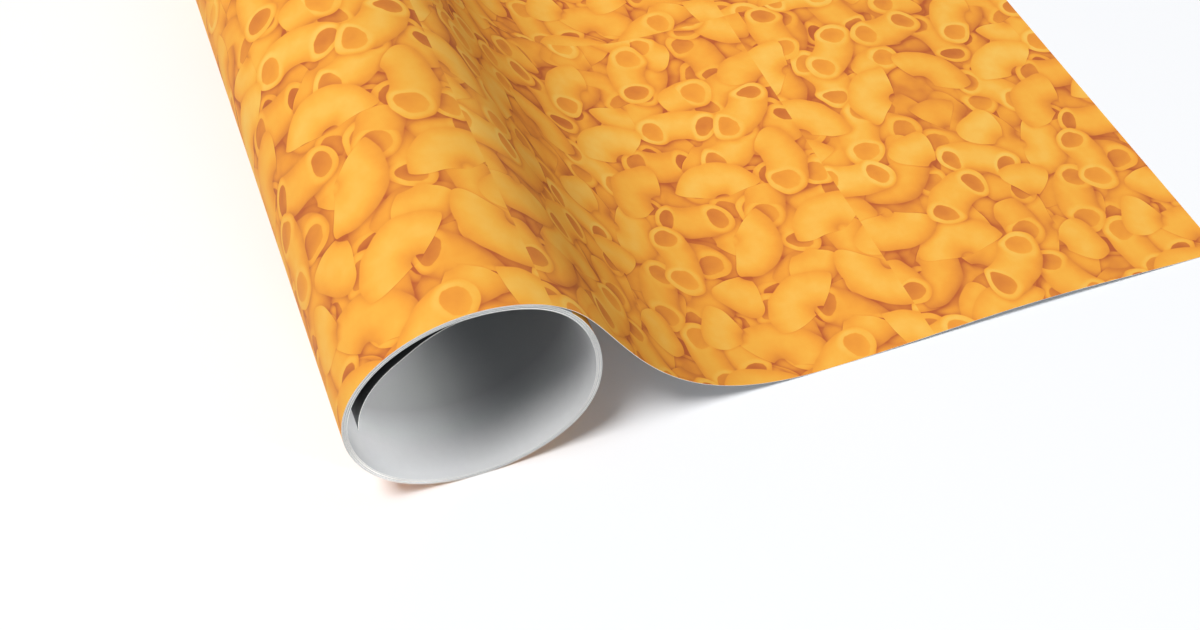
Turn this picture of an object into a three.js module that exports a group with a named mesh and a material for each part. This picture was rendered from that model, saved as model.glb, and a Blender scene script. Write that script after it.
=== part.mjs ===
// A roll of gift wrapping paper, partly unrolled, with no tube inside it.
//
// The whole object is one sheet of thin paper. Most of it is wound into a hollow
// roll, the innermost end has sprung a little away from the wall, and the
// outermost end leaves the roll near its top, drops in an S and lies on the table.
//
// Millimetres, +Z up, +Y along the roll. The sheet has the same outline at every
// Y, so it is worked out once in the XZ plane, with the roll's axis at X = 0, and
// then extruded along the roll.

import * as THREE from 'three';

// Driving dimensions
const SHEET_WIDTH = 737; // along the roll, the paper's 29 in
const SHEET_LENGTH = 1829; // from the inner edge to the outer one, the paper's 6 ft
const PAPER_THICKNESS = 0.1;
const ROLL_DIAMETER = 63.5; // outside, where the sheet leaves the roll
const WHOLE_TURNS = 8;
const LAYER_PITCH = 0.18; // paper, and the air that is wound in with it
const BASE_SAG = 0.05; // how far the roll settles, which gives it a flat to lie on

// Where the roll isn't quite round: the direction in which its turns are pressed
// in, how far that reaches to each side, and by how much
const PRESSES = [
  { at: 10, reach: 55, by: 1.95 },
  { at: 195, reach: 45, by: 0.4 },
];
const LIFTING_REACH = 30; // from here on to the outer end the sheet isn't pressed in

// The innermost end, in degrees round the roll from +X towards +Z
const INNER_EDGE_ANGLE = 177; // where the free edge stands
const SPRUNG_ANGLE = 130; // from here to the edge it stands clear of the wall
const WOUND_ANGLE = 95; // from here on it lies on the wall
const SPRUNG_GAP = 2.3;

// The outermost end: an S that leaves the roll along its tangent and lands flat
const LEAVE_ANGLE = 41.6;
const LEAVE_REACH = 19; // how long the S keeps to the roll's tangent
const LANDING_REACH = 48.6; // how long it keeps to the table's direction
const LANDING_X = 95.6; // where it touches the table
const SWELL_HEIGHT = 2.3; // the low swell of the part that lies on the table

// How finely the curves are cut
const STEPS_PER_TURN = 64;
const DRAPE_STEPS = 26;
const SWELL_STEPS = 14;

const PAPER_COLOUR = 0xf5a843;
const PAPER_ROUGHNESS = 0.55;

const FULL_TURN = 360;
const BOTTOM_ANGLE = -90;
const HALF_THICKNESS = PAPER_THICKNESS / 2;

// The sheet is followed from its inner edge. In the roll the angle only falls,
// turn after turn, from INNER_EDGE_ANGLE to OUTER_ANGLE.
const OUTER_ANGLE = LEAVE_ANGLE - FULL_TURN * WHOLE_TURNS;
const OUTER_BOTTOM_ANGLE = BOTTOM_ANGLE - FULL_TURN * (WHOLE_TURNS - 1);

// How far the turns are pressed in at an angle: a smooth hollow round each of the
// directions, which the end that is leaving the roll stays out of
function pressedIn(angle) {
  if (angle < OUTER_ANGLE + LIFTING_REACH) {
    return 0;
  }
  let depth = 0;
  for (const press of PRESSES) {
    const aside = THREE.MathUtils.euclideanModulo(angle - press.at + FULL_TURN / 2, FULL_TURN);
    const share = Math.min(Math.abs(aside - FULL_TURN / 2) / press.reach, 1);
    depth += press.by * Math.cos((share * Math.PI) / 2) ** 2;
  }
  return depth;
}

// Distance from the roll's axis to the middle of the paper
function woundRadius(angle) {
  const turnsInward = (angle - OUTER_ANGLE) / FULL_TURN;
  return ROLL_DIAMETER / 2 - HALF_THICKNESS - LAYER_PITCH * turnsInward - pressedIn(angle);
}

const AXIS_HEIGHT = woundRadius(OUTER_BOTTOM_ANGLE) + HALF_THICKNESS - BASE_SAG;

// How far the innermost end has sprung inwards from its place in the winding
function sprungGap(angle) {
  const clear = THREE.MathUtils.smoothstep(angle, WOUND_ANGLE, SPRUNG_ANGLE);
  return SPRUNG_GAP * clear;
}

// A point of the roll on one face of the paper: side is +1 for the outer,
// printed face and -1 for the inner one. Where the roll rests, every layer is
// pressed flat on the one below it.
function rollPoint(angle, side) {
  const radius = woundRadius(angle) - sprungGap(angle) + side * HALF_THICKNESS;
  const radians = THREE.MathUtils.degToRad(angle);
  const layersBelow = Math.round((angle - OUTER_BOTTOM_ANGLE) / FULL_TURN);
  const restHeight = layersBelow * LAYER_PITCH + (1 - side) * HALF_THICKNESS;
  const height = AXIS_HEIGHT + radius * Math.sin(radians);
  return new THREE.Vector2(radius * Math.cos(radians), Math.max(height, restHeight));
}

// The angles of the roll's corners: the two ends, and between them the same
// directions in every turn, so that neighbouring layers stay parallel. One side
// of the polygon lies level at the very bottom.
function rollAngles() {
  const step = FULL_TURN / STEPS_PER_TURN;
  const firstStep = Math.ceil((INNER_EDGE_ANGLE - BOTTOM_ANGLE) / step - 0.5);
  const angles = [INNER_EDGE_ANGLE];
  let angle = BOTTOM_ANGLE + (firstStep - 0.5) * step;
  while (angle > OUTER_ANGLE) {
    angles.push(angle);
    angle -= step;
  }
  angles.push(OUTER_ANGLE);
  return angles;
}

// The S from the roll to the table, as the line midway between the two faces
function drapeCurve() {
  const radians = THREE.MathUtils.degToRad(OUTER_ANGLE);
  const outwards = new THREE.Vector2(Math.cos(radians), Math.sin(radians));
  const tangent = new THREE.Vector2(outwards.y, -outwards.x);
  const leave = outwards.multiplyScalar(woundRadius(OUTER_ANGLE));
  leave.y += AXIS_HEIGHT;
  const landing = new THREE.Vector2(LANDING_X, HALF_THICKNESS);
  const leaveHandle = leave.clone().addScaledVector(tangent, LEAVE_REACH);
  const landingHandle = new THREE.Vector2(LANDING_X - LANDING_REACH, HALF_THICKNESS);
  return new THREE.CubicBezierCurve(leave, leaveHandle, landingHandle, landing);
}

// The part on the table: a low swell, level at both ends, as long as the paper
// that is left over
class SwellCurve extends THREE.Curve {
  constructor(length) {
    super();
    this.length = length;
  }

  getPoint(t) {
    const rise = SWELL_HEIGHT * Math.sin(Math.PI * t) ** 2;
    return new THREE.Vector2(LANDING_X + this.length * t, HALF_THICKNESS + rise);
  }
}

// Both faces along a curve, half a thickness to each side of it. The first point
// of the curve is left out, because the piece before it ends there.
function facesAlong(curve, steps) {
  const outer = [];
  const inner = [];
  for (let i = 1; i <= steps; i += 1) {
    const point = curve.getPointAt(i / steps);
    const tangent = curve.getTangentAt(i / steps);
    const normal = new THREE.Vector2(-tangent.y, tangent.x);
    outer.push(point.clone().addScaledVector(normal, HALF_THICKNESS));
    inner.push(point.clone().addScaledVector(normal, -HALF_THICKNESS));
  }
  return { outer, inner };
}

function pathLength(points) {
  let length = 0;
  for (let i = 1; i < points.length; i += 1) {
    length += points[i].distanceTo(points[i - 1]);
  }
  return length;
}

// The sheet seen from its cut edge: out along the printed face and back along
// the plain one
function sheetOutline() {
  const angles = rollAngles();
  const rollOuter = angles.map((angle) => rollPoint(angle, 1));
  const rollInner = angles.map((angle) => rollPoint(angle, -1));
  const woundLength = (pathLength(rollOuter) + pathLength(rollInner)) / 2;

  const drape = drapeCurve();
  const swell = new SwellCurve(SHEET_LENGTH - woundLength - drape.getLength());
  const drapeFaces = facesAlong(drape, DRAPE_STEPS);
  const swellFaces = facesAlong(swell, SWELL_STEPS);

  const outer = [...rollOuter, ...drapeFaces.outer, ...swellFaces.outer];
  const inner = [...rollInner, ...drapeFaces.inner, ...swellFaces.inner];
  return new THREE.Shape([...outer, ...inner.reverse()]);
}

function makePaperSheet() {
  const options = { depth: SHEET_WIDTH, bevelEnabled: false };
  const geometry = new THREE.ExtrudeGeometry(sheetOutline(), options);
  geometry.rotateX(Math.PI / 2);
  geometry.computeBoundingBox();
  const middle = geometry.boundingBox.getCenter(new THREE.Vector3());
  geometry.translate(-middle.x, -middle.y, 0);

  const material = new THREE.MeshStandardMaterial({
    color: PAPER_COLOUR,
    roughness: PAPER_ROUGHNESS,
    metalness: 0,
  });
  const sheet = new THREE.Mesh(geometry, material);
  sheet.name = 'paper_sheet';
  return sheet;
}

const group = new THREE.Group();
group.add(makePaperSheet());

export default group;
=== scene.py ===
# %% [markdown]
# # A roll of gift wrapping paper, partly unrolled
#
# The object is one sheet of paper. Eight turns of it make a hollow roll, and its
# outer end drops off the roll in an S and lies on the table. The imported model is
# loaded first and stays fixed: it says where the roll lies and how large it is.

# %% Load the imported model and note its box
import math

import bpy
import numpy as np
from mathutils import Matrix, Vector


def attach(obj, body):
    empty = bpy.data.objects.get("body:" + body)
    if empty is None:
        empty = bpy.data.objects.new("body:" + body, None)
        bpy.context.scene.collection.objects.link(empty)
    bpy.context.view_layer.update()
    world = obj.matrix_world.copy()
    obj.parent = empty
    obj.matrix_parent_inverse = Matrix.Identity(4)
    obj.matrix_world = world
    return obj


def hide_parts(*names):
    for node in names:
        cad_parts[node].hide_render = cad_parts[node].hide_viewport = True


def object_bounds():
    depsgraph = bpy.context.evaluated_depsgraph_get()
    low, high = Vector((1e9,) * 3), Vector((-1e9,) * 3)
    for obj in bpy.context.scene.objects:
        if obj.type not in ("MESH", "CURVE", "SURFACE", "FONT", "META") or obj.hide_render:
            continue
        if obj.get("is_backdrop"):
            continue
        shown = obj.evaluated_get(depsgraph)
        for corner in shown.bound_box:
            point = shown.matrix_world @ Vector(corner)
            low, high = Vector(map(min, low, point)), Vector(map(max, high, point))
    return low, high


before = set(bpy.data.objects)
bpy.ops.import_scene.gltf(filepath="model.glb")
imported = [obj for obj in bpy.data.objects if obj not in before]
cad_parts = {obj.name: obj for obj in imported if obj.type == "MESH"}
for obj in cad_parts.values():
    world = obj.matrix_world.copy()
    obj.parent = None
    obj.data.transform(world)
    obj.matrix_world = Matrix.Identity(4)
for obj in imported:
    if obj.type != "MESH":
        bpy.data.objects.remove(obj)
CAD_LOW, CAD_HIGH = (np.array(corner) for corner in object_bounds())
print("box of the solids:", CAD_LOW.round(4), CAD_HIGH.round(4))

# %% [markdown]
# ## Driving sizes
#
# Everything is in metres. The sheet is 29 in wide and 6 ft long, and the roll is
# 2.5 in across. These are the sizes of the solid as well, so that what is built
# here lies exactly where the solid does. Only the solid's width is rounded up, by
# 0.4 mm, which leaves room to shift the turns a little along the roll.

# %% Sizes of the sheet and of the roll
MM = 0.001
SHEET_WIDTH = 736.6 * MM
SHEET_LENGTH = 1829 * MM
PAPER_THICKNESS = 0.1 * MM
ROLL_RADIUS = 63.5 * MM / 2
WHOLE_TURNS = 8
LAYER_PITCH = 0.18 * MM  # paper, and the air that is wound in with it
BASE_SAG = 0.05 * MM  # how far the roll settles, which gives it a flat to lie on

PRESSES = [  # direction, reach to each side and depth of the places that aren't quite round
    (math.radians(10), math.radians(55), 1.95 * MM),
    (math.radians(195), math.radians(45), 0.4 * MM),
]
LIFTING_REACH = math.radians(30)  # the outer end isn't pressed in over this much

INNER_EDGE_ANGLE = math.radians(177)  # where the free edge stands, from +X towards +Z
SPRUNG_ANGLE = math.radians(130)  # from here to the edge it stands clear of the wall
WOUND_ANGLE = math.radians(95)  # from here on it lies on the wall
SPRUNG_GAP = 2.3 * MM

LEAVE_ANGLE = math.radians(41.6)  # where the sheet leaves the roll
LEAVE_REACH = 19 * MM  # how long the S keeps to the roll's tangent
LANDING_X = 95.6 * MM  # where it touches the table, from the roll's axis
LANDING_REACH = 48.6 * MM  # how long it keeps to the table's direction
SWELL_HEIGHT = 2.3 * MM  # of the low swell in the part that lies on the table

FULL_TURN = 2 * math.pi
OUTER_ANGLE = LEAVE_ANGLE - FULL_TURN * WHOLE_TURNS
OUTER_BOTTOM_ANGLE = -FULL_TURN / 4 - FULL_TURN * (WHOLE_TURNS - 1)
print("turns in the roll:", round((INNER_EDGE_ANGLE - OUTER_ANGLE) / FULL_TURN, 2))

# %% [markdown]
# ## Camera
#
# The camera looks down on the near end of the roll, from a little to its left, and
# it is tilted a few degrees. It is placed from the foot of the roll's near end, in
# units of the roll's radius, so that it would follow a roll of another size.

# %% Camera at the roll's near end
LEFT_REACH = 31.38 * MM  # from the roll's axis to its left side, where the box ends
AXIS_X = CAD_LOW[0] + LEFT_REACH
END_BACK = 0.35 * MM  # the roll's end behind the box's, where the outer turn stands back
NEAR_END = np.array([AXIS_X, CAD_LOW[1] + END_BACK, 0])
CAMERA_PLACE = np.array([-1.7285, -5.4142, 9.2285])  # in radii of the roll
CAMERA_HEADING = math.radians(25.776)  # from +Y towards +X
CAMERA_PITCH = math.radians(-51.787)
CAMERA_ROLL = math.radians(5.373)
FOCAL_PIXELS = 1407.8
FRAME_PIXELS = 1200
SENSOR_WIDTH = 36
CLIP = (0.01, 20)  # the nearest and the furthest distance that is drawn


def turned_frame(heading, pitch, roll):
    """The camera's right, up and backward directions as rows: the forward direction
    is set by heading and pitch, and right and up are then turned about it by roll."""
    forward = np.array([
        math.sin(heading) * math.cos(pitch),
        math.cos(heading) * math.cos(pitch),
        math.sin(pitch),
    ])
    level = np.array([math.cos(heading), -math.sin(heading), 0])
    above = np.cross(level, forward)
    right = level * math.cos(roll) + above * math.sin(roll)
    return np.array([right, np.cross(right, forward), -forward])


def make_camera():
    data = bpy.data.cameras.new("camera")
    data.sensor_width = SENSOR_WIDTH
    data.lens = SENSOR_WIDTH * FOCAL_PIXELS / FRAME_PIXELS
    data.clip_start, data.clip_end = CLIP
    camera = bpy.data.objects.new("camera", data)
    bpy.context.scene.collection.objects.link(camera)
    placed = np.eye(4)
    placed[:3, :3] = turned_frame(CAMERA_HEADING, CAMERA_PITCH, CAMERA_ROLL).T
    placed[:3, 3] = NEAR_END + CAMERA_PLACE * ROLL_RADIUS
    camera.matrix_world = placed.T.tolist()
    bpy.context.scene.camera = camera
    return camera


camera = make_camera()
print("camera at", np.array(camera.matrix_world)[:3, 3].round(4), "lens", round(camera.data.lens, 2))

# %% [markdown]
# ## Floor and light
#
# A plain white floor, a faint white surround and a large soft lamp overhead, a
# little to the left. A second soft lamp stands in front: it brightens the roll's end
# and, being slightly cool, takes the print's orange out of the shade. The colours
# are shown as they are, without a film look, so that the white stays white.
#
# Little of this light gets into the roll. A third lamp that far away would also
# brighten the print beside the opening, so a small one stands close to each open
# end instead, unseen. It shines inwards from the upper right, so the left wall is
# lit and the right one stays dark.

# %% Floor and surround
FLOOR_SIZE = 12.0
FLOOR_DROP = 0.1 * MM
FLOOR_COLOUR = (0.90, 0.905, 0.92, 1)
FLOOR_ROUGHNESS = 0.7
SURROUND_COLOUR = (1, 1, 1, 1)
SURROUND_STRENGTH = 0.2


def make_floor():
    half = FLOOR_SIZE / 2
    corners = [(-half, -half), (half, -half), (half, half), (-half, half)]
    mesh = bpy.data.meshes.new("floor")
    mesh.from_pydata([(x, y, -FLOOR_DROP) for x, y in corners], [], [(0, 1, 2, 3)])
    floor = bpy.data.objects.new("floor", mesh)
    bpy.context.scene.collection.objects.link(floor)
    material = bpy.data.materials.new("white_floor")
    material.use_nodes = True
    shader = material.node_tree.nodes["Principled BSDF"]
    shader.inputs["Base Color"].default_value = FLOOR_COLOUR
    shader.inputs["Roughness"].default_value = FLOOR_ROUGHNESS
    mesh.materials.append(material)
    floor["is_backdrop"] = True
    return floor


def make_surround():
    world = bpy.data.worlds.new("surround")
    world.use_nodes = True
    background = world.node_tree.nodes["Background"]
    background.inputs["Color"].default_value = SURROUND_COLOUR
    background.inputs["Strength"].default_value = SURROUND_STRENGTH
    bpy.context.scene.world = world


floor = make_floor()
make_surround()
print("floor:", floor.name, "surround:", bpy.context.scene.world.name)


# %% Lamps
def aim(light, place, backward):
    """Puts a light at a place so that its own +Z, away from which it shines, points
    backward."""
    lamp = bpy.data.objects.new(light.name, light)
    bpy.context.scene.collection.objects.link(lamp)
    backward = np.array(backward) / np.linalg.norm(backward)
    side = np.cross((0, 1, 0), backward)
    side /= np.linalg.norm(side)
    placed = np.eye(4)
    placed[:3, :3] = np.array([side, np.cross(backward, side), backward]).T
    placed[:3, 3] = place
    lamp.matrix_world = placed.T.tolist()
    return lamp


def disc_lamp(name, size, watts):
    light = bpy.data.lights.new(name, "AREA")
    light.shape = "DISK"
    light.size = size
    light.energy = watts
    return light


MOUTH = NEAR_END + (0, 0, ROLL_RADIUS)  # the middle of the roll's near opening
LAMP_DIRECTION = np.array([-0.35, -0.105, 0.93])
LAMP_DISTANCE = 8.0
LAMP_SIZE = 2.5
LAMP_WATTS = 590
FRONT_DIRECTION = np.array([0.06, -0.97, 0.22])
FRONT_DISTANCE = 6.0
FRONT_SIZE = 1.5
FRONT_WATTS = 120
FRONT_COLOUR = (0.82, 0.97, 1.08)
FILL_SIZE = 45 * MM
FILL_DIRECTION = np.array([0.46, -0.79, 0.40])
FILL_DISTANCE = 17 * MM
FILL_SPREAD = math.radians(30)
FILL_WATTS = 0.0106


def make_lights():
    softbox = disc_lamp("softbox", LAMP_SIZE, LAMP_WATTS)
    aim(softbox, MOUTH + LAMP_DIRECTION * LAMP_DISTANCE, LAMP_DIRECTION)
    front = disc_lamp("front_light", FRONT_SIZE, FRONT_WATTS)
    front.color = FRONT_COLOUR
    aim(front, MOUTH + FRONT_DIRECTION * FRONT_DISTANCE, FRONT_DIRECTION)
    for end, mirror in (("near", (1, 1, 1)), ("far", (1, -1, 1))):
        light = disc_lamp(f"fill_in_the_{end}_end", FILL_SIZE, FILL_WATTS)
        light.spread = FILL_SPREAD
        direction = FILL_DIRECTION * mirror
        fill = aim(light, MOUTH * mirror + direction * FILL_DISTANCE, direction)
        fill.visible_camera = False


make_lights()
bpy.context.scene.view_settings.view_transform = "Standard"

# %% [markdown]
# ## The sheet's line
#
# Seen from its cut edge the sheet is a line: a spiral, then an S, then a low swell.
# It could be modelled turn by turn, but the real thing is one strip, so the whole
# line is worked out at once. Each station on it has a point on the printed face,
# a point on the plain face and its distance along the paper.

# %% The wound part
TURN_STEPS = 160


def pressed_in(angle):
    """How far the turns are pressed in: about each direction the squared cosine of a
    quarter turn over the reach, and nothing where the outer end lifts off."""
    depth = 0
    for at, reach, by in PRESSES:
        aside = np.mod(angle - at + FULL_TURN / 2, FULL_TURN) - FULL_TURN / 2
        share = np.minimum(np.abs(aside) / reach, 1)
        depth = depth + by * np.cos(share * np.pi / 2) ** 2
    return np.where(angle < OUTER_ANGLE + LIFTING_REACH, 0, depth)


def wound_radius(angle):
    """Distance from the roll's axis to the middle of the paper: the outer radius,
    less one layer's pitch for each turn that still lies outside, and less what the
    turns are pressed in."""
    turns_inward = (angle - OUTER_ANGLE) / FULL_TURN
    round_radius = ROLL_RADIUS - PAPER_THICKNESS / 2 - LAYER_PITCH * turns_inward
    return round_radius - pressed_in(angle)


def smooth_step(value, start, end):
    """0 before start, 1 after end, and the cubic 3t^2 - 2t^3 between them."""
    t = np.clip((value - start) / (end - start), 0, 1)
    return t * t * (3 - 2 * t)


AXIS_HEIGHT = wound_radius(OUTER_BOTTOM_ANGLE) + PAPER_THICKNESS / 2 - BASE_SAG


def wound_face(angle, side):
    """Points of the roll on one face of the paper: the spiral's radius, less the gap
    by which the innermost end has sprung inwards, half a thickness to the outer side
    (+1) or the inner one (-1). Below, each layer is pressed flat on the next one."""
    gap = SPRUNG_GAP * smooth_step(angle, WOUND_ANGLE, SPRUNG_ANGLE)
    radius = wound_radius(angle) - gap + side * PAPER_THICKNESS / 2
    layers_below = np.round((angle - OUTER_BOTTOM_ANGLE) / FULL_TURN)
    rest_height = layers_below * LAYER_PITCH + (1 - side) * PAPER_THICKNESS / 2
    height = np.maximum(AXIS_HEIGHT + radius * np.sin(angle), rest_height)
    return np.stack([radius * np.cos(angle), height], axis=1)


wound_steps = round((INNER_EDGE_ANGLE - OUTER_ANGLE) / FULL_TURN * TURN_STEPS)
wound_angles = np.linspace(INNER_EDGE_ANGLE, OUTER_ANGLE, wound_steps + 1)
wound_outer = wound_face(wound_angles, +1)
wound_inner = wound_face(wound_angles, -1)
print("stations round the roll:", len(wound_angles))

# %% The part that drops to the table and lies on it
DRAPE_STEPS = 120
SWELL_STEPS = 60
FINE_STEPS = 20  # of the uneven line, for each step of the even one


def path_length(points):
    """Running distance along a line of points."""
    return np.append(0, np.cumsum(np.linalg.norm(np.diff(points, axis=0), axis=1)))


def drape_line(count):
    """A cubic Bezier from the roll to the table, cut into equal lengths: it starts
    along the roll's tangent and ends along the table."""
    outwards = np.array([math.cos(OUTER_ANGLE), math.sin(OUTER_ANGLE)])
    tangent = np.array([outwards[1], -outwards[0]])
    leave = outwards * wound_radius(OUTER_ANGLE) + (0, AXIS_HEIGHT)
    landing = np.array([LANDING_X, PAPER_THICKNESS / 2])
    corners = [leave, leave + tangent * LEAVE_REACH, landing - (LANDING_REACH, 0), landing]
    t = np.linspace(0, 1, FINE_STEPS * count)[:, None]
    weights = [(1 - t) ** 3, 3 * (1 - t) ** 2 * t, 3 * (1 - t) * t ** 2, t ** 3]
    fine = sum(weight * corner for weight, corner in zip(weights, corners))
    run = path_length(fine)
    even = np.linspace(0, run[-1], count + 1)
    return np.stack([np.interp(even, run, fine[:, axis]) for axis in (0, 1)], axis=1)


def swell_line(length, count):
    """A low swell on the table: its height is the squared sine of half a turn over
    its length, so it is level at both ends."""
    t = np.linspace(0, 1, count + 1)
    rise = SWELL_HEIGHT * np.sin(np.pi * t) ** 2
    return np.stack([LANDING_X + length * t, PAPER_THICKNESS / 2 + rise], axis=1)


def both_faces(line):
    """The line moved half a thickness along its normal, to each side."""
    tangent = np.gradient(line, axis=0)
    tangent /= np.linalg.norm(tangent, axis=1)[:, None]
    normal = np.stack([-tangent[:, 1], tangent[:, 0]], axis=1)
    half = PAPER_THICKNESS / 2
    return line + half * normal, line - half * normal


drape = drape_line(DRAPE_STEPS)
lying_length = CAD_HIGH[0] - AXIS_X - LANDING_X
loose = np.concatenate([drape, swell_line(lying_length, SWELL_STEPS)[1:]])
loose_outer, loose_inner = both_faces(loose)
outer_face = np.concatenate([wound_outer, loose_outer[1:]]) + (AXIS_X, 0)
inner_face = np.concatenate([wound_inner, loose_inner[1:]]) + (AXIS_X, 0)
run = path_length((outer_face + inner_face) / 2)
print("stations in all:", len(run), "length of the sheet:", run[-1].round(4))

# %% [markdown]
# ## The sheet's mesh
#
# The line's two faces are joined into one closed outline, and the outline is
# carried along the roll. The cut edges at both ends of the roll are filled by the
# narrow quads between the two faces. The turns of a real roll never end quite
# flush, so each station is moved along the roll by a small smooth amount.
#
# The long faces are shaded smooth, so that the roll looks round. The edges round
# every cut are marked sharp, because smooth shading would otherwise carry on over
# the thin cut and tilt the light on the wide faces beside it.

# %% Telescoping of the turns
SHIFT = 0.17 * MM
LONG_WAVE, SHORT_WAVE = 83 * MM, 31 * MM  # length of a wave, divided by 2 pi
LONG_SHARE, SHORT_SHARE = 0.6, 0.4
LATER = 1  # how much further on the short wave starts, in radians


def end_shift(distance):
    """How far the sheet's edges stand off along the roll: the sum of two slow waves
    along the sheet whose lengths aren't multiples of a turn."""
    long_wave = LONG_SHARE * np.sin(distance / LONG_WAVE)
    short_wave = SHORT_SHARE * np.sin(distance / SHORT_WAVE + LATER)
    return SHIFT * (long_wave + short_wave)


print("largest shift of an edge, in mm:", (abs(end_shift(run)).max() / MM).round(3))

# %% Build the closed mesh
PRINT_SLOT, BACK_SLOT, EDGE_SLOT, OUTSIDE_SLOT = range(4)
SHEET_ROWS = 2
OVERLAP_STEPS = 2  # the printed face starts this far before the outermost turn
leave_station = len(wound_angles) - 1
first_printed = leave_station - TURN_STEPS - OVERLAP_STEPS


def sheet_mesh():
    """A grid of (place along the roll) by (station round the outline), closed round
    the outline, with a strip of quads across the paper's thickness at each end."""
    count = len(run)
    outline = np.concatenate([outer_face, inner_face[::-1]])
    shift = end_shift(np.concatenate([run, run[::-1]]))
    along = np.linspace(-SHEET_WIDTH / 2, SHEET_WIDTH / 2, SHEET_ROWS)
    points = np.empty((SHEET_ROWS, 2 * count, 3))
    points[:, :, 0] = outline[:, 0]
    points[:, :, 1] = along[:, None] + shift
    points[:, :, 2] = outline[:, 1]

    number = np.arange(points.shape[0] * points.shape[1]).reshape(points.shape[:2])
    here, ahead = number, np.roll(number, -1, axis=1)
    walls = np.stack([here[:-1], ahead[:-1], ahead[1:], here[1:]], axis=-1)
    outer, inner = number[:, :count], number[:, :count - 1:-1]
    caps = [
        np.stack([outer[0, :-1], inner[0, :-1], inner[0, 1:], outer[0, 1:]], axis=-1),
        np.stack([outer[-1, 1:], inner[-1, 1:], inner[-1, :-1], outer[-1, :-1]], axis=-1),
    ]
    wall_slot = np.full(2 * count, EDGE_SLOT)
    hidden = np.arange(count - 1) < first_printed
    wall_slot[:count - 1] = np.where(hidden, OUTSIDE_SLOT, PRINT_SLOT)
    wall_slot[count:-1] = BACK_SLOT
    quads = np.concatenate([walls.reshape(-1, 4), *caps])
    slots = np.concatenate([
        np.tile(wall_slot, SHEET_ROWS - 1),
        np.full(2 * (count - 1), EDGE_SLOT),
    ])
    mesh = bpy.data.meshes.new("gift_wrap_sheet")
    mesh.from_pydata(points.reshape(-1, 3), [], quads.tolist())
    mesh.polygons.foreach_set("material_index", slots)
    mesh.polygons.foreach_set("use_smooth", slots != EDGE_SLOT)
    mesh.edges.foreach_set("use_edge_sharp", rim_edges(mesh, 2 * count))
    return mesh


def rim_edges(mesh, outline_points):
    """Marks the edges round every cut: those that stay within one row of points, and
    those along the roll at the corners of the sheet's two ends."""
    pairs = np.empty((len(mesh.edges), 2), dtype=np.int32)
    mesh.edges.foreach_get("vertices", pairs.ravel())
    row, station = np.divmod(pairs, outline_points)
    end_corners = [0, outline_points // 2 - 1, outline_points // 2, outline_points - 1]
    return (row[:, 0] == row[:, 1]) | np.isin(station[:, 0], end_corners)


def enclosed_volume(mesh):
    """In cubic millimetres, and above zero only if the faces point outwards: a sixth
    of the sum of (a x b) . c over the triangles a, b, c."""
    corners = np.empty((len(mesh.vertices), 3))
    mesh.vertices.foreach_get("co", corners.ravel())
    mesh.calc_loop_triangles()
    triangles = np.empty((len(mesh.loop_triangles), 3), dtype=np.int32)
    mesh.loop_triangles.foreach_get("vertices", triangles.ravel())
    a, b, c = corners[triangles].transpose(1, 0, 2) / MM
    return round(float((np.cross(a, b) * c).sum() / 6))


mesh = sheet_mesh()
sheet = bpy.data.objects.new("gift_wrap_sheet", mesh)
bpy.context.scene.collection.objects.link(sheet)
print("faces in the sheet:", len(mesh.polygons), "enclosed volume:", enclosed_volume(mesh))

# %% [markdown]
# ## Places on the paper
#
# The print follows the paper, not the room, so each corner of the mesh also stores
# where it lies on the flat sheet: its distance along the paper and across it.
#
# A second map lays all faces out side by side without overlaps, for baking the
# colours into a picture. Most of it goes to the print that shows, and the plain
# faces, which hold no detail, get narrow bands.

# %% Write both maps
SHEET_MAP = "flat_sheet"
BAKE_MAP = "OFBake"
MAP_PIXELS = 1024
BANDS = {  # first and last row of pixels
    "near cut": (2, 6),
    "far cut": (9, 13),
    "inner end": (16, 19),
    "outer end": (22, 25),
    "loose back": (28, 44),
    "hidden back": (47, 59),
    "inside of the roll": (62, 92),
    "hidden outside": (95, 107),
    "print": (110, 1021),
}
MARGIN = 3  # pixels left free at each side


def band_places(name, share):
    """Heights in a band of the map, from its lower side, 0, to its upper one, 1."""
    low, high = BANDS[name]
    return (low + share * (high - low)) / MAP_PIXELS


def write_map(name, across, along):
    """Stores two numbers for each corner of each face, in the order of the faces."""
    layer = mesh.uv_layers.new(name=name)
    layer.data.foreach_set("uv", np.stack([across.ravel(), along.ravel()], axis=1).ravel())


def lay_out_walls():
    """For the long faces, in the order of the outline: the two ends of each face as
    distances along the sheet, and as heights in its band of the map."""
    count = len(run)
    stations = np.concatenate([np.arange(count), np.arange(count)[::-1]])
    ends = np.stack([stations, np.roll(stations, -1)], axis=1)
    heights = np.empty((2 * count, 2))
    pieces = [
        ("hidden outside", 0, first_printed),
        ("print", first_printed, count - 1),
        ("loose back", count, count + (count - 1 - leave_station)),
        ("hidden back", count + (count - 1 - leave_station), 2 * count - 1 - TURN_STEPS),
        ("inside of the roll", 2 * count - 1 - TURN_STEPS, 2 * count - 1),
    ]
    for name, first, last in pieces:
        distances = run[ends[first:last]]
        span = distances.max() - distances.min()
        heights[first:last] = band_places(name, (distances - distances.min()) / span)
    heights[count - 1] = band_places("outer end", np.array([0, 1]))
    heights[2 * count - 1] = band_places("inner end", np.array([0, 1]))
    return run[ends], heights


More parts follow.
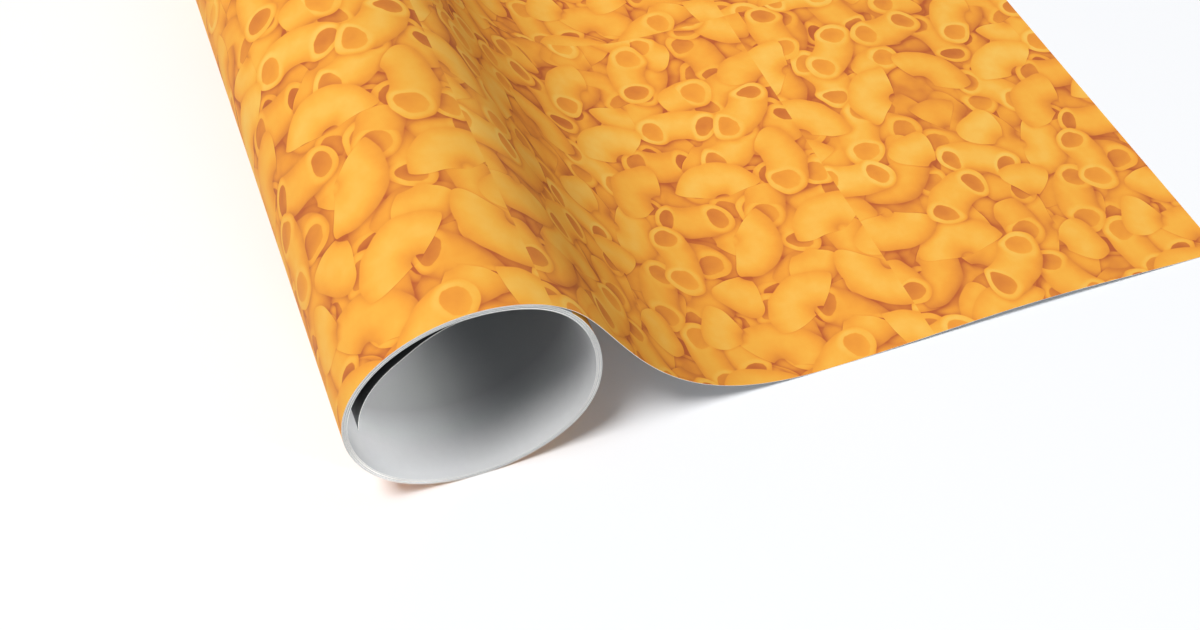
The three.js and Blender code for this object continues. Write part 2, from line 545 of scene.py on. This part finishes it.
def write_maps():
    """Corners run (near, here), (near, ahead), (far, ahead), (far, here) on the long
    faces. On a cut they run outer, inner, inner, outer: the first two here and the
    others ahead at the near end, and the other way round at the far one."""
    distances, heights = lay_out_walls()
    margin = MARGIN / MAP_PIXELS
    walls = distances.shape[0]
    near_far = np.tile([0, 0, 1, 1], (walls, 1))
    flat_across = near_far * SHEET_WIDTH
    bake_across = margin + near_far * (1 - 2 * margin)
    order = [0, 1, 1, 0]

    here, ahead = run[:-1], run[1:]
    near_run = np.stack([here, here, ahead, ahead], axis=1)
    far_run = np.stack([ahead, ahead, here, here], axis=1)
    cut_run = np.concatenate([near_run, far_run])
    cut_side = np.tile([0, 1, 1, 0], (len(here), 1))
    cut_height = np.concatenate([
        band_places("near cut", cut_side),
        band_places("far cut", cut_side),
    ])
    cut_across = margin + cut_run / run[-1] * (1 - 2 * margin)
    edge = np.repeat([0, SHEET_WIDTH], len(here))[:, None] + np.zeros((1, 4))

    write_map(SHEET_MAP, np.concatenate([distances[:, order], cut_run]),
              np.concatenate([flat_across, edge]))
    write_map(BAKE_MAP, np.concatenate([bake_across, cut_across]),
              np.concatenate([heights[:, order], cut_height]))


write_maps()
print("maps on the sheet:", [layer.name for layer in mesh.uv_layers])

# %% [markdown]
# ## Shader maths in Python
#
# A print of hundreds of little tubes is a long sum, which is easier to read as
# expressions than as nodes. This class wraps a socket, and each operator adds the
# Math node that works it out.

# %% A socket that understands arithmetic
class Field:
    """A value that changes over the surface: one socket of a material's tree."""

    def __init__(self, tree, socket=None):
        self.tree = tree
        self.socket = socket

    def node(self, kind, settings, sockets, output=0):
        """Adds a node: first its settings, then each socket's value or link."""
        made = self.tree.nodes.new(kind)
        for name, value in settings.items():
            setattr(made, name, value)
        for name, value in sockets.items():
            if isinstance(value, Field):
                self.tree.links.new(value.socket, made.inputs[name])
            else:
                made.inputs[name].default_value = value
        return Field(self.tree, made.outputs[output])

    def maths(self, operation, *values, clamp=False):
        settings = {"operation": operation, "use_clamp": clamp}
        return self.node("ShaderNodeMath", settings, dict(enumerate(values)))

    def vector(self, operation, *values):
        return self.node("ShaderNodeVectorMath", {"operation": operation}, dict(enumerate(values)))

    def __add__(self, other):
        return self.maths("ADD", self, other)

    __radd__ = __add__

    def __sub__(self, other):
        return self.maths("SUBTRACT", self, other)

    def __rsub__(self, other):
        return self.maths("SUBTRACT", other, self)

    def __mul__(self, other):
        return self.maths("MULTIPLY", self, other)

    __rmul__ = __mul__

    def __truediv__(self, other):
        return self.maths("DIVIDE", self, other)

    def __gt__(self, other):
        return self.maths("GREATER_THAN", self, other)

    def __abs__(self):
        return self.maths("ABSOLUTE", self)

    def root(self):
        return self.maths("SQRT", self)

    def times_plus(self, factor, addend, clamp=False):
        return self.maths("MULTIPLY_ADD", self, factor, addend, clamp=clamp)

    def towards(self, other, share):
        """This value where share is 0, the other where it is 1."""
        return (other - self).times_plus(share, self)

    def mix(self, low, high, share):
        """The one colour where share is 0, the other where it is 1."""
        return self.node("ShaderNodeMix", {"data_type": "RGBA"}, {0: share, 6: low, 7: high}, 2)

    def noise(self, place, scale, detail, output=0):
        """Soft noise over the flat sheet: its value or, as output 1, its colour."""
        sockets = {"Vector": place, "Scale": scale, "Detail": detail}
        return self.node("ShaderNodeTexNoise", {"noise_dimensions": "2D"}, sockets, output)

    def bump(self, height, distance, strength):
        """The surface's normal, tilted as if it stood this far out where height is 1."""
        sockets = {"Height": height, "Distance": distance, "Strength": strength}
        return self.node("ShaderNodeBump", {}, sockets)

    def parts(self, kind="ShaderNodeSeparateXYZ"):
        """The x, y and z of a vector or, with Separate Color, a colour's three numbers."""
        split = self.node(kind, {}, {0: self}).socket.node
        return [Field(self.tree, socket) for socket in split.outputs]


def new_material(name):
    """A material without nodes, and an empty Field that its nodes are made from."""
    material = bpy.data.materials.new(name)
    material.use_nodes = True
    material.node_tree.nodes.clear()
    return material, Field(material.node_tree)


def surface(start, shader_values):
    """Ends a material: a Principled shader with these values, and the output."""
    shader = start.node("ShaderNodeBsdfPrincipled", {}, shader_values)
    output = start.tree.nodes.new("ShaderNodeOutputMaterial")
    start.tree.links.new(shader.socket, output.inputs["Surface"])


print("shader maths ready")

# %% [markdown]
# ## One layer of the printed pasta
#
# The print shows a heap of short bent tubes of pasta, seen from above. One could
# draw every tube by hand, but a heap is many thin layers of the same thing: each
# layer here is a turned square grid with one tube in each cell, and the cell's
# number gives that tube its own place, heading, bend, length and openings. A few
# tubes are short, as if they stood on end, and a few cells stay empty.
#
# A tube is drawn in polar coordinates about the centre of its bend, which turn the
# bent tube into a straight bar. The bar's end is an ellipse: where the tube is open
# towards the reader, the ellipse has a pale rim and a deeper hole, and elsewhere it
# only rounds the end off.

# %% Sizes of the printed pasta, in millimetres
CELL = 34.0
JITTER = 5.0
TUBE = 6.2  # half the tube's width
BEND_LEAST, BEND_SPREAD = 8.0, 16.0  # radius of the bend, to the tube's middle line
HALF_TIGHT, HALF_WIDER = 10.0, -2.4  # half the length when tightly bent; the widest adds this
BEND_RISE = TUBE / 4  # the tube's middle line passes this far above the cell's middle
SHUT_LEAST, SHUT_SPREAD = 0.1 * TUBE, 0.8 * TUBE  # how far a shut end is rounded out
WIDE_LEAST, WIDE_SPREAD = 0.6 * TUBE, 0.3 * TUBE  # the same for an open end
HOLE = 0.66  # the hole's share of the ellipse
HOLE_GRAIN = 0.8  # how strongly the grain roughens the hole's outline
EDGE_SOFTNESS = 0.3
SHADE_REACH = 2.4
RIM_CRISPNESS = 4.5  # how fast the rim sets in, for each half width
print("a tube is", 2 * TUBE, "mm wide, in cells of", CELL, "mm")

# %% What the draws decide
SHORT_FROM, SHORT_BY = 0.78, 0.55  # above the first, a tube is shorter by this share
OPEN_FROM = 0.5  # an end is open if its draw is above this
END_WEIGHT = 0.4  # of an end's own draw in that one; the rest is the tube's
EMPTY_FROM = 0.91  # a cell whose draw is above this has no tube
FAR_OFF = 9.0  # takes such a tube and its shade out of reach, in half widths
SECOND_DRAW = 7.0  # any number but 0: it makes the second three draws new ones
print("share of empty cells:", round(1 - EMPTY_FROM, 2))

# %% Tones of the printed pasta, from 0, the deepest, to 1, the palest
LIGHT = (-0.6, 0.8, 0.0)  # on the flat sheet
# A draw of 0 gives the least, and a draw of 1 adds the spread. The others say by how
# much a part is paler than its tube, and what its side towards the light adds.
TUBE_LEAST, TUBE_SPREAD = 0.43, 0.16
CROWN, CROWN_LIT = 0.36, 0.1
RIM, RIM_LIT = 0.4, 0.07
HOLE_LEAST, HOLE_SPREAD = -0.26, 0.32
HOLE_EDGE, HOLE_LIT = 0.14, -0.14
CAST, CAST_LIT = 0.19, -0.11  # what the shade beside a tube takes off the tone below
print("palest tone of a tube:", round(TUBE_LEAST + TUBE_SPREAD + CROWN + CROWN_LIT, 2))


# %% The cell that a point lies in, and what was drawn for it
def layer_grid(start, place, number, turn, shift):
    """The place on the sheet, turned and shifted, in cells. The layer's number is its
    height, so that no two layers draw the same."""
    scale = 1 / (CELL * MM)
    return start.node(
        "ShaderNodeMapping",
        {"vector_type": "POINT"},
        {
            "Vector": place,
            "Location": (*shift, number + 0.5),
            "Rotation": (0, 0, turn),
            "Scale": (scale, scale, 0),
        },
    )


def drawn_numbers(start, grid):
    """Six random numbers from 0 to 1, which are the same all over a cell."""
    noise, split = "ShaderNodeTexWhiteNoise", "ShaderNodeSeparateColor"
    cell = start.vector("FLOOR", grid)
    draws = start.node(noise, {"noise_dimensions": "3D"}, {"Vector": cell}, 1)
    more = start.node(noise, {"noise_dimensions": "4D"}, {"Vector": cell, "W": SECOND_DRAW}, 1)
    return draws.parts(split) + more.parts(split)


def rotated(start, vector, heading):
    """The x and y of a vector that is turned about Z by the heading."""
    sockets = {"Vector": vector, "Angle": heading}
    turned = start.node("ShaderNodeVectorRotate", {"rotation_type": "Z_AXIS"}, sockets)
    x, y, _ = turned.parts()
    return x, y


def place_in_cell(start, grid, aside, pick, heading):
    """x and y in millimetres from the middle of the cell, which is nudged by up to
    half of JITTER each way, and turned so that the bend's crown points along y."""
    local = start.vector("FRACTION", grid)
    local = start.vector("MULTIPLY_ADD", local, (CELL, CELL, 0), (-CELL / 2, -CELL / 2, 0))
    nudge = start.node("ShaderNodeCombineXYZ", {}, {0: aside - 0.5, 1: pick - 0.5})
    local = start.vector("MULTIPLY_ADD", nudge, (JITTER, JITTER, 0), local)
    return rotated(start, local, heading)


def light_in_cell(start, turn, heading):
    """The light's direction, as the tube sees it in a layer that is turned."""
    x, y, z = LIGHT
    in_layer = (x * math.cos(turn) - y * math.sin(turn), x * math.sin(turn) + y * math.cos(turn), z)
    return rotated(start, in_layer, heading)


print("places and draws in a cell ready")


# %% One tube in its cell
def tube_tone(tone, grain, across, past, facing, lit, end_draw, is_open):
    """The tone on a tube: palest along its crown, by 1 - sideways^2, and on an open
    end the pale rim and in it the hole. mouth = sqrt(sideways^2 + past^2) is 0 in the
    middle of the hole and 1 on the rim's outer side."""
    roundness = across.times_plus(-1.0, 1.0, clamp=True)
    body = roundness.times_plus(CROWN, tone) + facing * CROWN_LIT
    crisp = TUBE / EDGE_SOFTNESS
    mouth = past.times_plus(past, across).root()
    rim_mask = mouth.times_plus(-RIM_CRISPNESS, RIM_CRISPNESS, clamp=True) * is_open
    torn = mouth + grain * HOLE_GRAIN
    hole_mask = torn.times_plus(-crisp, crisp * HOLE, clamp=True) * is_open
    rim = lit.times_plus(RIM_LIT, tone + RIM)
    hole = mouth.times_plus(HOLE_EDGE, tone) + lit * HOLE_LIT
    hole = hole + end_draw.times_plus(HOLE_SPREAD, HOLE_LEAST)
    return body.towards(rim, rim_mask).towards(hole, hole_mask)


def pasta_layer(start, place, grain, below, number, turn, shift, depth):
    """Lays one layer of tubes over the tone below it, and returns the new tone.

    In the cell, bearing and radius are the polar coordinates about the bend's
    centre. sideways = (radius - bend) / half width runs from -1 to 1 across the
    tube, and past = (|bearing| * bend - half length) / end runs from 0 to 1 over
    the end ellipse. The tube is where sideways^2 + max(past, 0)^2 < 1."""
    grid = layer_grid(start, place, number, turn, shift)
    aside, pick, heading_draw, left_draw, right_draw, kind = drawn_numbers(start, grid)
    heading = heading_draw * FULL_TURN
    x, y = place_in_cell(start, grid, aside, pick, heading)

    bend = (kind * kind).times_plus(BEND_SPREAD, BEND_LEAST)
    up = y + bend - BEND_RISE
    radius = (x * x + up * up).root()
    bearing = start.maths("ARCTAN2", x, up)
    sideways = (radius - bend) * (1 / TUBE)
    along = bearing * bend

    right = along > 0
    short = aside > SHORT_FROM
    end_draw = left_draw.towards(right_draw, right)
    openness = end_draw.times_plus(END_WEIGHT, kind - END_WEIGHT / 2)
    is_open = openness - (short > right) > OPEN_FROM  # a short tube stands on its left end
    shut_end = kind.times_plus(SHUT_SPREAD, SHUT_LEAST)
    open_end = end_draw.times_plus(WIDE_SPREAD, WIDE_LEAST)
    end = shut_end.towards(open_end, is_open)
    half = kind.times_plus(HALF_WIDER, HALF_TIGHT) * short.times_plus(-SHORT_BY, 1.0)
    past = (abs(along) - half) / end
    across = sideways * sideways
    outside = start.maths("MAXIMUM", past, 0.0)
    reach = (pick > EMPTY_FROM).times_plus(FAR_OFF, outside.times_plus(outside, across).root())
    crisp = TUBE / EDGE_SOFTNESS
    mask = reach.times_plus(-crisp, crisp, clamp=True)
    shade = reach.times_plus(-TUBE / SHADE_REACH, 1 + TUBE / SHADE_REACH, clamp=True)

    light_x, light_y = light_in_cell(start, turn, heading)
    facing = (x * light_x + up * light_y) / radius * sideways
    along_light = (up * light_x - x * light_y) / radius
    lit = facing + along_light * start.maths("SIGN", along) * past
    tone = pick.times_plus(TUBE_SPREAD, TUBE_LEAST - depth) + grain
    tube = tube_tone(tone, grain, across, past, facing, lit, end_draw, is_open)
    cast = shade * shade * facing.times_plus(CAST_LIT, CAST)
    return (below - cast).towards(tube, mask)


print("one layer of pasta ready")

# %% [markdown]
# ## The printed face
#
# Twelve such layers lie on a deep orange ground, in three groups of four. The four
# share one turned grid, each half a cell beside the others, and the lower groups are
# darker, so that the gaps between the upper tubes look down into the heap. The
# layers only work out one tone from 0 to 1, and a colour ramp turns it into the
# print's own colours, from red brown in the gaps over orange to pale yellow on the
# rims. The whole print repeats in a square, as a printing cylinder does.

# %% Layout and colours of the print
GROUPS = 3
PLACES = [(0, 0), (0.5, 0.5), (0.5, 0), (0, 0.5)]  # of a group's layers, in cells
FIRST_TURN, TURN_BY = 0.6, 2.4  # of the groups' grids, in radians
GROUP_DEPTH, LAYER_DEPTH = 0.12, 0.02  # what each is darker by than the next above
REPEAT = 134.7 * MM
SEAM_FROM_LEAVE = 9 * MM  # a repeat ends this far before the sheet leaves the roll
TONES = [  # a place on the ramp, which has stops at 0 and 1 already, and its screen colour
    (0.00, (192, 100, 54)),
    (0.16, (208, 118, 57)),
    (0.34, (226, 138, 60)),
    (0.50, (242, 157, 62)),
    (0.64, (250, 169, 65)),
    (0.80, (253, 184, 74)),
    (1.00, (254, 202, 98)),
]
PRINT_STRENGTH = 0.89  # of these colours, for the light that falls on the print
WOBBLE = 2.2 * MM  # how far a noise can move the tubes' outlines
SPECKLE = 0.16  # the spread of the grain in the pasta's tone
GROUND = (0.7, 0.08)  # what a noise is multiplied by, and what is added to it
PRINT_ROUGHNESS = (0.14, 0.52)  # the same, for the paper's own surface
PRINT_SPECULAR = 0.08
PRINT_BUMP = 0.25
WOBBLE_NOISE = (90.0, 1.0)  # scale and detail
SPECKLE_NOISE = (260.0, 2.0)
GROUND_NOISE = (110.0, 2.0)
print("layers in the print:", GROUPS * len(PLACES))


# %% Screen colours, and the paper's own surface
def linear(colour):
    """A screen colour of 0 to 255 as the linear one that a shader takes: the standard
    screen curve, a straight line near black and a power of 2.4 above it."""
    share = np.array(colour) / 255
    low = share / 12.92
    high = ((share + 0.055) / 1.055) ** 2.4
    return np.where(share <= 0.04045, low, high)


TOOTH_HEIGHT = 0.02 * MM
FIBRE_NOISE, FIBRE_SHARE = (1600.0, 2.0), 0.4
WAVE_NOISE, WAVE_SHARE = (45.0, 1.0), 0.6


def paper_tooth(start):
    """The paper's own surface, the same under print and on the plain side: fibres a
    few tenths of a millimetre across, on slow waves some centimetres long."""
    place = start.node("ShaderNodeUVMap", {"uv_map": SHEET_MAP}, {})
    fibres = start.noise(place, *FIBRE_NOISE)
    waves = start.noise(place, *WAVE_NOISE)
    return waves.times_plus(WAVE_SHARE, fibres * FIBRE_SHARE)


print("deepest tone as a shader's colour:", linear(TONES[0][1]).round(3))


# %% Print the heap
def macaroni_print():
    material, start = new_material("macaroni_print")
    sheet_place = start.node("ShaderNodeUVMap", {"uv_map": SHEET_MAP}, {})
    seam = run[leave_station] - SEAM_FROM_LEAVE
    repeats = start.vector("SUBTRACT", sheet_place, (seam % REPEAT, 0, 0))
    place = start.vector("WRAP", repeats, (REPEAT, REPEAT, 1), (0, 0, 0))
    wobble = start.noise(place, *WOBBLE_NOISE, output=1)
    place = start.vector("MULTIPLY_ADD", wobble, (WOBBLE, WOBBLE, 0), place)
    grain = start.noise(place, *SPECKLE_NOISE).times_plus(SPECKLE, -SPECKLE / 2)
    tone = start.noise(place, *GROUND_NOISE).times_plus(*GROUND)
    for number in range(GROUPS * len(PLACES)):
        group, member = divmod(number, len(PLACES))
        groups_above = GROUPS - 1 - group
        layers_above = len(PLACES) - 1 - member
        tone = pasta_layer(
            start,
            place,
            grain,
            tone,
            number,
            turn=FIRST_TURN + group * TURN_BY,
            shift=PLACES[member],
            depth=GROUP_DEPTH * groups_above + LAYER_DEPTH * layers_above,
        )
    ramp = start.node("ShaderNodeValToRGB", {}, {0: tone})
    stops = ramp.socket.node.color_ramp.elements
    for at, _ in TONES[1:-1]:
        stops.new(at)
    for stop, (_, colour) in zip(stops, TONES):
        stop.color = (*(linear(colour) * PRINT_STRENGTH), 1)
    tooth = paper_tooth(start)
    surface(start, {
        "Base Color": ramp,
        "Roughness": tooth.times_plus(*PRINT_ROUGHNESS),
        "Specular IOR Level": PRINT_SPECULAR,
        "Normal": start.bump(tooth, TOOTH_HEIGHT, PRINT_BUMP),
    })
    print("nodes in the printed face:", len(material.node_tree.nodes))
    return material


mesh.materials.append(macaroni_print())

# %% [markdown]
# ## The plain face and the cut edges
#
# The back of the paper is white and matt, with the faint clouds that uncoated
# paper has. The cut edges are brighter, with short torn fibres, and their white is
# partly painted light: it is raised and warmed so that the roll's ends look bright.
# Between two turns there is hardly room for light, so the faces that lie on each
# other there keep their white and still look dark. In the wider gap behind the free
# inner edge, light would go on from face to face, so both faces get a painted shade
# there, a deep grey. In the hollow of the roll the light dies away over two
# centimetres, and a painted shade tones the innermost turn's white down over the
# same distance.

# %% White paper
BACK_WHITE = 0.61
CLOUD_SHADE = 0.95  # of that white, in the darkest clouds
CLOUD_NOISE = (400.0, 3.0)
PLAIN_ROUGHNESS = (0.2, 0.6)
PLAIN_SPECULAR = 0.15
PLAIN_BUMP = 0.5
# Painted shade in the hollow: the innermost turn's white darkens to this grey away from the roll's
# ends.
PAINTED_HOLLOW_SHADE = 0.25  # deep in the hollow of the roll
DEEP_FROM, DEEP_TO = 2 * MM, 21 * MM  # from the roll's end
BETWEEN_TURNS = 0.6  # the white there
# Painted shade: the deep grey that both faces get in the gap behind the free inner edge.
PAINTED_GAP_SHADE = 0.05  # the deep grey there
GAP_LENGTH = 50 * MM  # of the gap behind the inner edge, along the sheet
FADE = 24 * MM  # the length over which one grey turns to the next
# The outer face's painted shade starts before the inner edge.
EDGE_ENTERED = 0.6  # how far the outer face has turned grey already at the inner edge
LIFTED = 1 * MM  # the back is white again this far before the sheet leaves the roll
leave_run = run[leave_station]
first_turn_run = run[TURN_STEPS]


def grey(value):
    return (value, value, value, 1)


def plain_paper(name, hidden_from, hidden_to):
    """White paper. From one distance along the sheet it turns to the gap's deep grey,
    a painted shade, then past the gap to the white between turns, and at another
    distance back to the open white. On the innermost turn a painted shade tones it
    down with the depth in the roll."""
    material, start = new_material(name)
    place = start.node("ShaderNodeUVMap", {"uv_map": SHEET_MAP}, {})
    clouds = start.noise(place, *CLOUD_NOISE)
    distance, across, _ = place.parts()
    entered = (distance - hidden_from).times_plus(1 / FADE, 0.0, clamp=True)
    passed = (distance - hidden_from).times_plus(1 / FADE, -GAP_LENGTH / FADE, clamp=True)
    white = start.mix(grey(BACK_WHITE), grey(BACK_WHITE * CLOUD_SHADE), clouds)
    # Painted shade in the hollow of the roll, deeper the further from the roll's ends.
    from_end = start.maths("MINIMUM", across, SHEET_WIDTH - across)
    sunk = (from_end - DEEP_FROM).times_plus(1 / (DEEP_TO - DEEP_FROM), 0.0, clamp=True)
    deep = sunk * start.maths("LESS_THAN", distance, first_turn_run)
    white = start.mix(white, grey(PAINTED_HOLLOW_SHADE), deep)
    # Painted shade of the hidden faces: the gap's deep grey, then the white between turns.
    shaded = start.mix(grey(PAINTED_GAP_SHADE), grey(BETWEEN_TURNS), passed)
    hidden = entered * start.maths("LESS_THAN", distance, hidden_to)
    colour = start.mix(white, shaded, hidden)
    surface(start, {
        "Base Color": colour,
        "Roughness": clouds.times_plus(*PLAIN_ROUGHNESS),
        "Specular IOR Level": PLAIN_SPECULAR,
        "Normal": start.bump(paper_tooth(start), TOOTH_HEIGHT, PLAIN_BUMP),
    })
    return material


mesh.materials.append(plain_paper("plain_back", first_turn_run, leave_run - LIFTED))
print("plain face:", mesh.materials[BACK_SLOT].name)

# %% Cut edges, and the outer face where the turns hide it
# The cut edges' white is partly painted light: paler than the back's and warmed, so that the roll's
# ends look bright and not cool.
EDGE_WHITE = (0.98, 0.93, 0.87, 1)
EDGE_SHADE = (0.83, 0.78, 0.73, 1)
EDGE_ROUGHNESS = (0.2, 0.7)
EDGE_BUMP = 0.4
TORN_NOISE = (900.0, 3.0)
TORN_SHADE = (2.4, -0.9)
TORN_HEIGHT = 0.05 * MM


def cut_edge():
    """A guillotined edge: short fibres torn along the sheet make it a little darker
    here and lighter there, and rough."""
    material, start = new_material("cut_edge")
    place = start.node("ShaderNodeUVMap", {"uv_map": SHEET_MAP}, {})
    fibres = start.noise(place, *TORN_NOISE)
    darker = fibres.times_plus(*TORN_SHADE, clamp=True)
    colour = start.mix(EDGE_WHITE, EDGE_SHADE, darker)
    surface(start, {
        "Base Color": colour,
        "Roughness": fibres.times_plus(*EDGE_ROUGHNESS),
        "Specular IOR Level": PLAIN_SPECULAR,
        "Normal": start.bump(fibres, TORN_HEIGHT, EDGE_BUMP),
    })
    return material


mesh.materials.append(cut_edge())
# The outer face of the inner turns is plain, with the gap's painted shade behind the free inner
# edge.
mesh.materials.append(plain_paper("plain_outside", -EDGE_ENTERED * FADE, SHEET_LENGTH))
print("materials on the sheet:", [m.name for m in mesh.materials])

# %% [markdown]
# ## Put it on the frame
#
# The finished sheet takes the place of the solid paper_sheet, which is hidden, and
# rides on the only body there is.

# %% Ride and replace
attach(sheet, "root")
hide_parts("paper_sheet")
